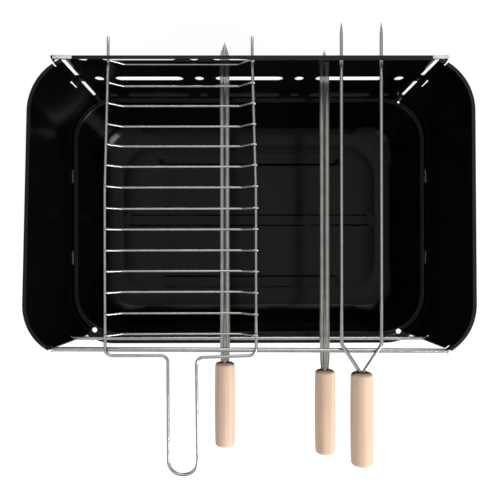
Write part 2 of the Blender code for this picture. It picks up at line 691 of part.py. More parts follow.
clear_scene()
grill = new_collection("hibachi_grill")
cutters = new_collection("cutters")
root = bpy.data.objects.new("grill_root", None)
root.location = (0, ORIGIN_SHIFT, 0)
grill.objects.link(root)

enamel = material("black_enamel", (0.012, 0.012, 0.013), 0.18, 0.0)
zinc = material("bright_zinc_wire", (0.62, 0.60, 0.56), 0.28, 1.0)
steel = material("skewer_steel", (0.55, 0.54, 0.52), 0.32, 1.0)
beech = material("beech", (0.72, 0.50, 0.29), 0.55, 0.0)

lower_rail_z = LOWER_REST_Z - RAIL_D / 2
upper_rail_z = UPPER_REST_Z - RAIL_D / 2
make_tub()
make_rear_panel()
for panel_side in (-1, 1):
    make_side_panel(panel_side)
make_rail("lower_front_rail", lower_rail_z)
make_rail("upper_front_rail", upper_rail_z)

grid_pivot = empty("grid_pivot", (0, REAR_Y - SHEET / 2, UPPER_REST_Z + GAP + GRID_WIRE / 2), root)
make_grid(grid_pivot)

skewer_in_slot = -SLOT_FLAT + BLADE_W / 2 + GAP / 2
for skewer_label, slot_x, skewer_pulled in (("left", 0.0, 0.0), ("right", SLOT_PITCH, SKEWER_STEP)):
    slide = empty(f"{skewer_label}_skewer_slide", (slot_x + skewer_in_slot, 0, LOWER_REST_Z + GAP), root)
    make_skewer(skewer_label, slot_x + skewer_in_slot, skewer_pulled, slide)

fork_slide = empty("fork_slide", (SLOT_PITCH, 0, UPPER_REST_Z + GAP + TINE_D / 2), root)
make_fork(SLOT_PITCH, fork_slide)

for leg_label, leg_side in (("left", -1), ("right", 1)):
    hinge = empty(f"{leg_label}_leg_hinge", (leg_side * LEG_PIVOT_X, 0, RIM_Z - LEG_PIVOT_DROP), root)
    make_leg(leg_label, leg_side, hinge)
    for end_label, leg_end in (("front", -1), ("rear", 1)):
        make_clip(f"{leg_label}_{end_label}_leg_clip", leg_side, leg_end)
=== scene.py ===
import json
from math import acos, cos, hypot, pi, radians, sin, tan

import bmesh
import bpy
from mathutils import Matrix, Vector


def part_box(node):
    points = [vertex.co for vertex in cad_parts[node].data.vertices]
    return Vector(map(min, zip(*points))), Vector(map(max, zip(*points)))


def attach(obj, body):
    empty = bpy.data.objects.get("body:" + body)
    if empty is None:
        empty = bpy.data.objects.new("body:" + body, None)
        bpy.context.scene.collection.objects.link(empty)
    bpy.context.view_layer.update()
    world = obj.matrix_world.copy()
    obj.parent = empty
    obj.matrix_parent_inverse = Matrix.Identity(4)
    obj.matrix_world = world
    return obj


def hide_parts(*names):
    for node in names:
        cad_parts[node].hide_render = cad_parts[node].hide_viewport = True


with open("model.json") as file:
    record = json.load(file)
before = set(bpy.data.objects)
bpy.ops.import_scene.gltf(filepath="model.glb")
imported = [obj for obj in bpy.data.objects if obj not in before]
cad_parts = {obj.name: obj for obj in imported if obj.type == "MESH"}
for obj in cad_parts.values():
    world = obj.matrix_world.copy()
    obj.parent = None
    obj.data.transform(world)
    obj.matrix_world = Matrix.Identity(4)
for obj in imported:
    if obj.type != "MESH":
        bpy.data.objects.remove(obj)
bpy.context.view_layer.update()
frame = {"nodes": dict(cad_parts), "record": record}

# places read from the frame
tubLow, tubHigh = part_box("fire_tub")
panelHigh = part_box("right_side_panel")[1]
middleY = (tubLow[1] + tubHigh[1]) / 2
rimZ = tubHigh[2]
topZ = panelHigh[2]

general = {
    "sheet": 0.001,             # thickness of the pressed and bent steel
    "gap": 0.0003,              # between pieces that touch
    "smoothAngle": radians(38),
    "wireSides": 5,             # bevel resolution of a round wire
    "chamfer": 0.3,             # share of its diameter taken off a wire's cut end
}

flange = {"in": 0.0075, "out": 0.0075}      # from the windshield's outer face
# foot tabs and corner tabs
feet = {"width": 0.016, "drop": 0.006, "sideY": 0.050, "play": 0.00005, "topTab": 0.0095, "midTab": 0.018}
windshield = {
    "halfX": panelHigh[0],
    "halfY": (tubHigh[1] - tubLow[1]) / 2 - flange["out"],
    "rearInset": 0.0015,
    "corner": 0.055,
    "frontWrap": radians(56),       # how far a side panel goes round its front corner, at the top
    "footWrap": {1: radians(62), -1: radians(55.5)},        # right panel and left panel
    "bulgeWrap": {1: radians(60.5), -1: radians(60.3)},
    "bulgeHeight": 0.25,
    "rearWrap": {1: radians(67), -1: radians(65.7)},
    "hem": 0.004,
    "hemBend": 0.0013,
    "lean": {1: 0.0, -1: 0.0038},   # left panel is drawn in at its rear top corner
    "slitFromEnd": {1: 0.0062, -1: 0.0070},
    "slitWidth": 0.0026,
    "slitAside": -0.0008,
    "cornerOpening": 0.0014,
    "flare": 0.0012,                # a side panel's top spreads towards the front
    "tipLift": {1: 0.0006, -1: 0.0020},     # its front top tip is drawn back
    "railSeat": 0.0023,
    "hemNarrow": 0.0038,            # rear hem, on the left and what the right has more
    "hemWider": 0.0011,
    "hemShort": 0.005,
    "edge": 0.00022,
}
strap = {
    "lap": {1: 0.0065, -1: 0.0095},
    "short": {1: 0.0, -1: 0.0018},
    "hookDepth": 0.002,
    "near": 0.0036,                 # front, middle and rear face before the rear panel's outer face
    "middle": 0.0017,
    "far": 0.0002,
    "below": 0.0003,                # underside and top face from the windshield's top
    "above": 0.0006,
    "edge": 0.00025,
}
arcX = windshield["halfX"] - windshield["corner"]
arcY = windshield["halfY"] - windshield["corner"]
footZ = rimZ + general["gap"]

slots = {
    "rows": [rimZ + 0.0135 + 0.057 * row for row in range(3)],      # heights, low to high
    "pitch": 0.108874,
    "hole": 0.0095,
    "holeTall": 1.25,           # the round holes were stretched upwards in punching
    "slotHeight": [0.0125, 0.0125, 0.0112],     # of each row
    "web": 0.0130,
}
sideEndX = {side: arcX + windshield["corner"] * cos(windshield["rearWrap"][side]) for side in (1, -1)}
rearHalfX = sideEndX[1] - windshield["cornerOpening"]
rearFace = middleY + windshield["halfY"] - windshield["rearInset"]
slotLength = slots["pitch"] - slots["hole"] - 2 * slots["web"]

def clearCutter(cutter):
    mesh = cutter.data
    bpy.data.objects.remove(cutter, do_unlink=True)
    bpy.data.meshes.remove(mesh)

def linkMesh(name, bm):
    mesh = bpy.data.meshes.new(name)
    bm.to_mesh(mesh)
    bm.free()
    made = bpy.data.objects.new(name, mesh)
    bpy.context.scene.collection.objects.link(made)
    return made

def applyModifiers(piece):
    # the evaluated mesh becomes the piece's own
    bpy.context.view_layer.update()
    evaluated = piece.evaluated_get(bpy.context.evaluated_depsgraph_get())
    mesh = bpy.data.meshes.new_from_object(evaluated)
    old = piece.data
    piece.modifiers.clear()
    piece.data = mesh
    if old.users == 0:
        bpy.data.meshes.remove(old)
    return piece

def thicken(piece, thickness, side=-1.0):
    step = piece.modifiers.new("sheet", "SOLIDIFY")
    step.thickness = thickness
    step.offset = side
    step.use_even_offset = True
    return applyModifiers(piece)

def combine(piece, cutters, operation):
    for cutter in cutters:
        step = piece.modifiers.new("cut", "BOOLEAN")
        step.object = cutter
        step.operation = operation
        step.solver = "EXACT"
    applyModifiers(piece)
    for cutter in cutters:
        clearCutter(cutter)

def smooth(piece, angle=None):
    piece.data.shade_smooth()
    piece.data.set_sharp_from_angle(angle=angle or general["smoothAngle"])

def softenEdges(piece, width, segments=2):
    step = piece.modifiers.new("edges", "BEVEL")
    step.width = width
    step.segments = segments
    step.limit_method = "ANGLE"
    step.angle_limit = radians(40)
    step.use_clamp_overlap = True
    applyModifiers(piece)

def settle(piece, material, body, slotName, *nodes):
    # finish, body, slot (not used) and the nodes that the piece stands for
    piece.data.materials.clear()
    piece.data.materials.append(material)
    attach(piece, body)
    if nodes:
        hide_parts(*nodes)

def wrappedGrid(columns, rows, place):
    bm = bmesh.new()
    bmesh.ops.create_grid(bm, x_segments=columns, y_segments=rows, size=1.0)
    for vert in bm.verts:
        column = round((vert.co.x + 1) / 2 * columns)
        row = round((vert.co.y + 1) / 2 * rows)
        vert.co = Vector(place(column, row))
    return bm

def faceTowards(bm, direction):
    bmesh.ops.recalc_face_normals(bm, faces=bm.faces)
    bm.faces.ensure_lookup_table()
    if bm.faces[0].normal.dot(Vector(direction)) < 0:
        bmesh.ops.reverse_faces(bm, faces=bm.faces)

def boxCutter(low, high, edge=0.0):
    bm = bmesh.new()
    bmesh.ops.create_cube(bm, size=1.0)
    low, high = Vector(low), Vector(high)
    bmesh.ops.scale(bm, vec=high - low, verts=bm.verts)
    bmesh.ops.translate(bm, vec=(high + low) / 2, verts=bm.verts)
    if edge:
        bmesh.ops.bevel(bm, geom=bm.edges[:], offset=edge, offset_type="OFFSET", segments=2,
                        profile=0.5, affect="EDGES", material=-1)
    return linkMesh("cutter", bm)

def stadiumCutter(length, width, low, high, matrix, segments=40):
    # a round rod along Z whose halves are drawn apart along X
    bm = bmesh.new()
    radius = width / 2 / cos(pi / segments)
    bmesh.ops.create_cone(bm, cap_ends=True, segments=segments, radius1=radius, radius2=radius,
                          depth=high - low, matrix=Matrix.Rotation(pi / segments, 4, "Z"))
    stretch = (length - width) / 2
    for vert in bm.verts:
        vert.co.x += stretch if vert.co.x > 0 else -stretch
        vert.co.z += (high + low) / 2
    bmesh.ops.transform(bm, matrix=matrix, verts=bm.verts)
    return linkMesh("cutter", bm)

def filleted(corners, radius, steps=8):
    # a polyline whose inner corners are arcs
    points = [Vector(corners[0])]
    for before, corner, after in zip(corners, corners[1:], corners[2:]):
        corner = Vector(corner)
        back = (Vector(before) - corner).normalized()
        ahead = (Vector(after) - corner).normalized()
        half = acos(max(-1.0, min(1.0, back.dot(ahead)))) / 2
        centre = corner + (back + ahead).normalized() * (radius / sin(half))
        start = (corner + back * (radius / tan(half)) - centre).normalized()
        end = (corner + ahead * (radius / tan(half)) - centre).normalized()
        for step in range(steps + 1):
            points.append(centre + start.slerp(end, step / steps) * radius)
    points.append(Vector(corners[-1]))
    return points

def wireMesh(name, points, diameter, scales=None):
    curve = bpy.data.curves.new(name, "CURVE")
    curve.dimensions = "3D"
    curve.bevel_depth = diameter / 2
    curve.bevel_resolution = general["wireSides"]
    curve.use_fill_caps = True
    spline = curve.splines.new("POLY")
    spline.points.add(len(points) - 1)
    for index, point in enumerate(points):
        spline.points[index].co = (*point, 1.0)
        spline.points[index].radius = scales[index] if scales else 1.0
    holder = bpy.data.objects.new(name + "Curve", curve)
    bpy.context.scene.collection.objects.link(holder)
    bpy.context.view_layer.update()
    evaluated = holder.evaluated_get(bpy.context.evaluated_depsgraph_get())
    bm = bmesh.new()
    mesh = bpy.data.meshes.new_from_object(evaluated)
    bm.from_mesh(mesh)
    bpy.data.meshes.remove(mesh)
    bpy.data.objects.remove(holder, do_unlink=True)
    bpy.data.curves.remove(curve)
    bmesh.ops.remove_doubles(bm, verts=bm.verts, dist=0.00001)
    bmesh.ops.recalc_face_normals(bm, faces=bm.faces)
    return bm

def chamferedWire(name, points, diameter):
    # a wire whose cut ends have their burr taken off
    share = general["chamfer"]
    depth = diameter * share
    first = points[0] + (points[1] - points[0]).normalized() * depth
    last = points[-1] + (points[-2] - points[-1]).normalized() * depth
    points = [points[0], first, *points[1:-1], last, points[-1]]
    return wireMesh(name, points, diameter, [1 - share] + [1.0] * (len(points) - 2) + [1 - share])

def newMaterial(name):
    # the material, its nodes and links, its shader and the object coordinates
    made = bpy.data.materials.new(name)
    made.use_nodes = True
    nodes, links = made.node_tree.nodes, made.node_tree.links
    place = nodes.new("ShaderNodeTexCoord").outputs["Object"]
    return made, nodes, links, nodes["Principled BSDF"], place

def addNode(nodes, kind, **settings):
    node = nodes.new(kind)
    for key, value in settings.items():
        if hasattr(node, key):
            setattr(node, key, value)
        else:
            node.inputs[key].default_value = value
    return node

def newMaskGroup(name, **settings):
    # a node group from a vector and some settings to one mask
    group = bpy.data.node_groups.new(name, "ShaderNodeTree")
    for label, value in settings.items():
        label = label.replace("_", " ")
        socket = group.interface.new_socket(label, in_out="INPUT", socket_type="NodeSocketFloat")
        socket.default_value = value
    group.interface.new_socket("Vector", in_out="INPUT", socket_type="NodeSocketVector")
    group.interface.new_socket("Mask", in_out="OUTPUT", socket_type="NodeSocketFloat")
    entry, leave = group.nodes.new("NodeGroupInput"), group.nodes.new("NodeGroupOutput")
    return group, group.nodes, group.links, entry, leave

def makeMottleGroup():
    # soft cloudy variation with a fine grain on top, from 0 to 1
    settings = {"Cloud_Scale": 20.0, "Grain_Scale": 600.0, "Grain_Share": 0.3}
    group, nodes, links, entry, leave = newMaskGroup("surfaceMottle", **settings)
    cloud = addNode(nodes, "ShaderNodeTexNoise", Detail=4.0, Roughness=0.55)
    grain = addNode(nodes, "ShaderNodeTexNoise", Detail=2.0, Roughness=0.6)
    mix = addNode(nodes, "ShaderNodeMix", data_type="FLOAT")
    links.new(entry.outputs["Vector"], cloud.inputs["Vector"])
    links.new(entry.outputs["Vector"], grain.inputs["Vector"])
    links.new(entry.outputs["Cloud Scale"], cloud.inputs["Scale"])
    links.new(entry.outputs["Grain Scale"], grain.inputs["Scale"])
    links.new(entry.outputs["Grain Share"], mix.inputs[0])
    links.new(cloud.outputs[0], mix.inputs[2])
    links.new(grain.outputs[0], mix.inputs[3])
    links.new(mix.outputs[0], leave.inputs["Mask"])
    return group

def makeFibreGroup():
    # long fine lines along Y: grain of wood, or the rolling marks of strip
    settings = {"Across": 900.0, "Along": 14.0, "Contrast": 1.0}
    group, nodes, links, entry, leave = newMaskGroup("longFibres", **settings)
    stretch = nodes.new("ShaderNodeCombineXYZ")
    scaled = addNode(nodes, "ShaderNodeVectorMath", operation="MULTIPLY")
    lines = addNode(nodes, "ShaderNodeTexNoise", Scale=1.0, Detail=3.0, Roughness=0.6)
    centre = addNode(nodes, "ShaderNodeMath", operation="SUBTRACT")
    spread = addNode(nodes, "ShaderNodeMath", operation="MULTIPLY")
    lift = addNode(nodes, "ShaderNodeMath", operation="ADD", use_clamp=True)
    centre.inputs[1].default_value = 0.5
    lift.inputs[1].default_value = 0.5
    links.new(entry.outputs["Across"], stretch.inputs[0])
    links.new(entry.outputs["Along"], stretch.inputs[1])
    links.new(entry.outputs["Across"], stretch.inputs[2])
    links.new(entry.outputs["Vector"], scaled.inputs[0])
    links.new(stretch.outputs[0], scaled.inputs[1])
    links.new(scaled.outputs[0], lines.inputs["Vector"])
    links.new(lines.outputs[0], centre.inputs[0])
    links.new(centre.outputs[0], spread.inputs[0])
    links.new(entry.outputs["Contrast"], spread.inputs[1])
    links.new(spread.outputs[0], lift.inputs[0])
    links.new(lift.outputs[0], leave.inputs["Mask"])
    return group

mottleGroup = makeMottleGroup()
fibreGroup = makeFibreGroup()

def placeGroup(nodes, links, group, coordinates, **values):
    node = nodes.new("ShaderNodeGroup")
    node.node_tree = group
    for key, value in values.items():
        node.inputs[key.replace("_", " ")].default_value = value
    links.new(coordinates, node.inputs["Vector"])
    return node.outputs["Mask"]

def colourRamp(nodes, links, source, stops):
    ramp = nodes.new("ShaderNodeValToRGB")
    ramp.color_ramp.elements[0].position, ramp.color_ramp.elements[0].color = stops[0]
    ramp.color_ramp.elements[1].position, ramp.color_ramp.elements[1].color = stops[-1]
    for position, colour in stops[1:-1]:
        ramp.color_ramp.elements.new(position).color = colour
    links.new(source, ramp.inputs[0])
    return ramp.outputs[0]

def remap(nodes, links, source, low, high, outLow, outHigh):
    node = nodes.new("ShaderNodeMapRange")
    for index, value in enumerate((low, high, outLow, outHigh)):
        node.inputs[index + 1].default_value = value
    links.new(source, node.inputs[0])
    return node.outputs[0]

def addBump(nodes, links, shader, source, strength, distance):
    bump = nodes.new("ShaderNodeBump")
    bump.inputs["Strength"].default_value = strength
    bump.inputs["Distance"].default_value = distance
    links.new(source, bump.inputs["Height"])
    links.new(bump.outputs[0], shader.inputs["Normal"])

def mottle(nodes, links, place, cloud, grain, share):
    settings = {"Cloud_Scale": cloud, "Grain_Scale": grain, "Grain_Share": share}
    return placeGroup(nodes, links, mottleGroup, place, **settings)

def grey(value):
    return (value, value, value, 1.0)

def makeEnamel():
    # fired black enamel: deep gloss over a faintly uneven coat, with a little dust and a painted highlight
    # along the folded top hem
    made, nodes, links, shader, place = newMaterial("blackEnamel")
    cloud = mottle(nodes, links, place, 26.0, 850.0, 0.35)
    peel = mottle(nodes, links, place, 14.0, 330.0, 0.10)
    specks = addNode(nodes, "ShaderNodeTexVoronoi", Scale=520.0)
    links.new(place, specks.inputs["Vector"])
    dust = remap(nodes, links, specks.outputs["Distance"], 0.055, 0.03, 0.0, 1.0)
    coat = [(0.35, (0.0010, 0.0010, 0.0012, 1)), (0.7, (0.0024, 0.0024, 0.0027, 1))]
    tint = colourRamp(nodes, links, cloud, coat)
    mixed = addNode(nodes, "ShaderNodeMix", data_type="RGBA")
    links.new(dust, mixed.inputs[0])
    links.new(tint, mixed.inputs[6])
    mixed.inputs[7].default_value = grey(0.018)
    # painted highlight: the coat is painted paler along the top where the sheet is folded over, less so at
    # the left
    split = nodes.new("ShaderNodeSeparateXYZ")
    links.new(place, split.inputs[0])
    hemMask = remap(nodes, links, split.outputs[2], topZ - 0.0016, topZ - 0.0006, 0.0, 1.0)
    hemHighlightSide = remap(nodes, links, split.outputs[0], -0.17, -0.13, 0.30, 1.0)
    paintedHemHighlight = addNode(nodes, "ShaderNodeMath", operation="MULTIPLY")
    links.new(hemMask, paintedHemHighlight.inputs[0])
    links.new(hemHighlightSide, paintedHemHighlight.inputs[1])
    pale = addNode(nodes, "ShaderNodeMix", data_type="RGBA")
    links.new(paintedHemHighlight.outputs[0], pale.inputs[0])
    links.new(mixed.outputs[2], pale.inputs[6])
    # colour of the painted highlight along the hem
    pale.inputs[7].default_value = grey(0.013)
    links.new(pale.outputs[2], shader.inputs["Base Color"])
    links.new(remap(nodes, links, cloud, 0.3, 0.75, 0.13, 0.24), shader.inputs["Roughness"])
    shader.inputs["Specular IOR Level"].default_value = 0.19
    addBump(nodes, links, shader, peel, 0.25, 0.0012)
    return made

def makeBrightWire():
    # drawn wire with a bright plated skin, slightly clouded
    made, nodes, links, shader, place = newMaterial("brightWire")
    cloud = mottle(nodes, links, place, 130.0, 2600.0, 0.45)
    tint = colourRamp(nodes, links, cloud, [(0.3, (0.41, 0.405, 0.39, 1)), (0.7, (0.57, 0.56, 0.54, 1))])
    links.new(tint, shader.inputs["Base Color"])
    shader.inputs["Metallic"].default_value = 1.0
    shader.inputs["Specular Tint"].default_value = grey(0.08)
    links.new(remap(nodes, links, cloud, 0.3, 0.7, 0.18, 0.30), shader.inputs["Roughness"])
    addBump(nodes, links, shader, cloud, 0.3, 0.00012)
    return made

def makeSkewerSteel():
    # rolled strip: lines along its length, a few dull patches
    made, nodes, links, shader, place = newMaterial("skewerSteel")
    lines = placeGroup(nodes, links, fibreGroup, place, Across=2400.0, Along=9.0, Contrast=1.6)
    cloud = mottle(nodes, links, place, 60.0, 1500.0, 0.25)
    tint = colourRamp(nodes, links, cloud, [(0.3, (0.34, 0.335, 0.315, 1)), (0.7, (0.52, 0.515, 0.49, 1))])
    links.new(tint, shader.inputs["Base Color"])
    shader.inputs["Metallic"].default_value = 1.0
    links.new(remap(nodes, links, lines, 0.2, 0.8, 0.18, 0.40), shader.inputs["Roughness"])
    addBump(nodes, links, shader, lines, 0.25, 0.0001)
    return made

def makeBeech():
    # pale turned beech: soft growth bands, short dark flecks and open fibres along the handle
    made, nodes, links, shader, place = newMaterial("turnedBeech")
    fibres = placeGroup(nodes, links, fibreGroup, place, Across=1500.0, Along=45.0, Contrast=1.5)
    bands = placeGroup(nodes, links, fibreGroup, place, Across=170.0, Along=5.0, Contrast=1.7)
    warm = colourRamp(nodes, links, bands, [(0.2, (0.62, 0.43, 0.30, 1)), (0.5, (0.72, 0.515, 0.38, 1)),
                                            (0.85, (0.78, 0.58, 0.44, 1))])
    flecks = placeGroup(nodes, links, fibreGroup, place, Across=1900.0, Along=170.0, Contrast=2.4)
    mask = remap(nodes, links, flecks, 0.16, 0.04, 0.0, 0.55)
    mixed = addNode(nodes, "ShaderNodeMix", data_type="RGBA")
    links.new(mask, mixed.inputs[0])
    links.new(warm, mixed.inputs[6])
    mixed.inputs[7].default_value = (0.33, 0.17, 0.08, 1)
    # the ends towards the blades are darker brown, and this darkening is painted paler along the top as a
    # painted highlight
    endDarkAndPaintedHighlight = addNode(nodes, "ShaderNodeAttribute", attribute_name="endDarkAndPaintedHighlight")
    endDarkened = addNode(nodes, "ShaderNodeMix", data_type="RGBA")
    links.new(endDarkAndPaintedHighlight.outputs["Fac"], endDarkened.inputs[0])
    links.new(mixed.outputs[2], endDarkened.inputs[6])
    endDarkened.inputs[7].default_value = (0.060, 0.028, 0.015, 1)
    links.new(endDarkened.outputs[2], shader.inputs["Base Color"])
    links.new(remap(nodes, links, fibres, 0.2, 0.8, 0.50, 0.68), shader.inputs["Roughness"])
    shader.inputs["Specular IOR Level"].default_value = 0.4
    addBump(nodes, links, shader, fibres, 0.35, 0.00018)
    return made

def makeFloorPaint():
    made, nodes, links, shader, place = newMaterial("studioFloor")
    cloud = mottle(nodes, links, place, 1.2, 40.0, 0.1)
    tint = colourRamp(nodes, links, cloud, [(0.3, grey(0.20)), (0.7, grey(0.22))])
    links.new(tint, shader.inputs["Base Color"])
    shader.inputs["Roughness"].default_value = 0.9
    shader.inputs["Specular IOR Level"].default_value = 0.1
    shader.inputs["Emission Color"].default_value = grey(1.0)
    shader.inputs["Emission Strength"].default_value = 0.86
    return made

def makeStrapSteel():
    # bare bright sheet with a little enamel dust
    made, nodes, links, shader, place = newMaterial("strapSteel")
    cloud = mottle(nodes, links, place, 240.0, 1800.0, 0.3)
    tint = colourRamp(nodes, links, cloud, [(0.35, grey(0.55)), (0.6, grey(0.80))])
    links.new(tint, shader.inputs["Base Color"])
    shader.inputs["Metallic"].default_value = 0.4
    shader.inputs["Roughness"].default_value = 0.4
    return made

enamel = makeEnamel()
strapSteel = makeStrapSteel()
brightWire = makeBrightWire()
skewerSteel = makeSkewerSteel()
beech = makeBeech()
print("materials made")

tub = {
    "outerShare": 0.68,     # how much of the flange's width its outer corners gain in radius
    "lip": 0.003,
    "lipBend": 0.0014,
    "rimBend": 0.003,
    "depth": 0.070,
    "draft": radians(12),
    "floorBend": 0.030,
    "grooveWidth": 0.014,
    "grooveDepth": 0.002,
    "grooveSlope": 0.0022,
    "grooveMargin": 0.004,
    "grooveShorter": 0.045,
    "grooveEdgeY": 0.0185,
    "beadInset": -0.0050,   # a low bead on the flange
    "beadHalf": 0.0012,
    "beadHeight": 0.0005,
    "cutLow": -0.003,       # slits and holes are cut from here to there about the flange's top
    "cutHigh": 0.001,
    "floorShare": 0.6,      # how fast the floor's corners tighten towards the middle
    "arcSteps": 16,
    "spacing": 0.003,
    "floorSpacing": 0.002,
}
# side, end, turn round the corner, distance from the corner's centre and width of each flange hole
cornerHoles = [
    (-1, -1, radians(58.5), 0.0535, 0.0062), (1, -1, radians(66.5), 0.0524, 0.0062),
    (1, 1, radians(66), 0.0525, 0.0028),
]

def aroundPan(halfX, halfY, radius, column, counts):
    # a point of a rounded rectangle; counts says how many columns each arc and straight takes
    sectionCounts = [counts[0], counts[1], counts[0], counts[2]] * 2
    rest = column % sum(sectionCounts)
    for index, count in enumerate(sectionCounts):
        if rest < count:
            break
        rest -= count
    corner = index // 2
    signs = [(1, 1), (-1, 1), (-1, -1), (1, -1)]
    centre = Vector((signs[corner][0] * (halfX - radius), signs[corner][1] * (halfY - radius)))
    if index % 2 == 0:
        angle = pi / 2 * (corner + rest / count)
        return centre + Vector((cos(angle), sin(angle))) * radius
    follow = signs[(corner + 1) % 4]
    other = Vector((follow[0] * (halfX - radius), follow[1] * (halfY - radius)))
    angle = pi / 2 * (corner + 1)
    return centre.lerp(other, rest / count) + Vector((cos(angle), sin(angle))) * radius

def tubRows():
    # inset from the opening's edge and height above the flange, from the lip to the middle
    out = -flange["in"] - flange["out"]
    rows = [(out, -tub["lip"])]
    for step in range(5):
        angle = pi / 2 * step / 4
        rows.append((out + tub["lipBend"] * (1 - cos(angle)), tub["lipBend"] * (sin(angle) - 1)))
    for offset, lift in ((-1, 0.0), (-0.5, 0.6), (0, 1.0), (0.5, 0.6), (1, 0.0)):
        rows.append((tub["beadInset"] + offset * tub["beadHalf"], tub["beadHeight"] * lift))
    turn = pi / 2 - tub["draft"]
    for step in range(7):
        angle = turn * step / 6
        rows.append((tub["rimBend"] * (sin(angle) - cos(tub["draft"])), tub["rimBend"] * (cos(angle) - 1)))
    rimInset, rimDrop = rows[-1]
    bendTop = -tub["depth"] + tub["floorBend"] * (1 - sin(tub["draft"]))
    run = (rimDrop - bendTop) * tan(tub["draft"])
    for step in range(1, 10):
        share = step / 10
        rows.append((rimInset + run * share, rimDrop + (bendTop - rimDrop) * share))
    for step in range(19):
        angle = turn * step / 18
        inset = rimInset + run + tub["floorBend"] * (cos(tub["draft"]) - cos(tub["draft"] + angle))
        rows.append((inset, bendTop - tub["floorBend"] * (sin(tub["draft"] + angle) - sin(tub["draft"]))))
    return rows

def grooveDrop(x, y, grooves):
    # how far the floor is pressed down at a point
    drop = 0.0
    for centreY, halfLength in grooves:
        reach = halfLength - tub["grooveWidth"] / 2
        away = hypot(max(abs(x) - reach, 0.0), y - centreY) - tub["grooveWidth"] / 2
        share = min(max(0.5 - away / tub["grooveSlope"], 0.0), 1.0)
        drop = max(drop, share * share * (3 - 2 * share) * tub["grooveDepth"])
    return drop

def slitCutter(x, y, halfX, halfY):
    low = (x - halfX, y - halfY, rimZ + tub["cutLow"])
    return boxCutter(low, (x + halfX, y + halfY, rimZ + tub["cutHigh"]))

def makeTub():
    inner = Vector((windshield["halfX"] - flange["in"], windshield["halfY"] - flange["in"]))
    openRadius = windshield["corner"] - flange["in"]
    rows = tubRows()
    flatInset = rows[-1][0]
    floorSteps = int((inner.y - flatInset) / tub["floorSpacing"])
    for step in range(1, floorSteps + 1):
        rows.append((flatInset + (inner.y - flatInset) * step / floorSteps, -tub["depth"]))
    flat = inner - Vector((flatInset, flatInset))
    grooves = []
    for side in (-1, 0, 1):
        halfLength = flat.x - tub["grooveMargin"] - abs(side) * tub["grooveShorter"]
        grooves.append((side * (flat.y - tub["grooveEdgeY"]), halfLength))
    counts = (tub["arcSteps"], int(2 * arcX / tub["spacing"]), int(2 * arcY / tub["spacing"]))
    columns = 4 * counts[0] + 2 * counts[1] + 2 * counts[2]

    def place(column, row):
        inset, height = rows[row]
        radius = openRadius - min(inset, 0.0) * tub["outerShare"]
        radius -= max(0.0, inset - flatInset) * tub["floorShare"]
        radius = max(min(radius, inner.y - inset), 0.0)
        point = aroundPan(inner.x - inset, inner.y - inset, radius, column, counts)
        if inset >= flatInset - 0.006:
            height -= grooveDrop(point.x, point.y, grooves)
        return point.x, middleY + point.y, rimZ + height

    bm = wrappedGrid(columns, len(rows) - 1, place)
    bmesh.ops.remove_doubles(bm, verts=bm.verts, dist=0.00002)
    faceTowards(bm, (1, 0, 0))
    pan = thicken(linkMesh("firePan", bm), general["sheet"])
    thin, wide = general["sheet"] / 2 + feet["play"], feet["width"] / 2 + feet["play"]
    tabs = [(side * (windshield["halfX"] - general["sheet"] / 2), middleY + y, thin, wide)
            for side in (-1, 1) for y in (-feet["sideY"], feet["sideY"])]
    cuts = [slitCutter(*tab) for tab in tabs]
    for side, end, turn, radius, width in cornerHoles:
        x = side * (arcX + radius * cos(turn))
        y = middleY + end * (arcY + radius * sin(turn))
        spot = Matrix.Translation((x, y, rimZ))
        cuts.append(stadiumCutter(width, width, tub["cutLow"], tub["cutHigh"], spot))
    tabY = rearFace - general["sheet"] / 2
    cuts += [slitCutter(step * slots["pitch"], tabY, wide, thin) for step in (-1, 0, 1)]
    combine(pan, cuts, "DIFFERENCE")
    smooth(pan)
    settle(pan, enamel, "root", "black_enamel", "fire_tub")
    print("fire pan", len(pan.data.polygons), "faces")

makeTub()

def cornerTabSpans():
    middle = slots["rows"][1] + general["sheet"]
    half = feet["midTab"] / 2
    return [(middle - half, middle + half), (topZ - feet["topTab"], topZ)]

slitAngle = {side: windshield["rearWrap"][side] - windshield["slitFromEnd"][side] / windshield["corner"]
             for side in (1, -1)}

def leanIn(side, x, y, z):
    # a side panel's top is drawn in towards the rear and spread towards the front
    high = max((z - footZ) / (topZ - footZ), 0.0)
    behind = min(max((y + arcY) / (2 * arcY + 0.02), 0.0), 1.0)
    flare = windshield["flare"] * high * (1 - behind)
    return side * (x - windshield["lean"][side] * high * behind + flare)

def frontAngle(side, z):
    # the front edge of a side panel slants, and bulges where the lower rail meets it
    high = max((z - footZ) / (topZ - footZ), 0.0)
    bulge, foot = windshield["bulgeWrap"][side], windshield["footWrap"][side]
    middle = windshield["bulgeHeight"]
    if high < middle:
        return foot + (bulge - foot) * high / middle
    return bulge + (windshield["frontWrap"] - bulge) * (high - middle) / (1 - middle)

def hemRows(wallRows):
    # inset and height from the foot over the bend to the hem's edge
    bend = windshield["hemBend"]
    rows = [(0.0, footZ + (topZ - bend - footZ) * step / wallRows) for step in range(wallRows + 1)]
    for step in range(1, 7):
        angle = pi / 2 * step / 6
        rows.append((bend * (1 - cos(angle)), topZ - bend * (1 - sin(angle))))
    rows.append((windshield["hem"], topZ))
    return rows

def footTabs(places):
    made = []
    shave = general["sheet"] / 20
    for (x, y), (halfX, halfY) in places:
        low = (x - halfX + shave, y - halfY + shave, rimZ - feet["drop"])
        high = (x + halfX - shave, y + halfY - shave, footZ + feet["drop"])
        made.append(boxCutter(low, high))
    return made

def railCentre(node):
    low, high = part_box(node)
    return (low[1] + high[1]) / 2, (low[2] + high[2]) / 2

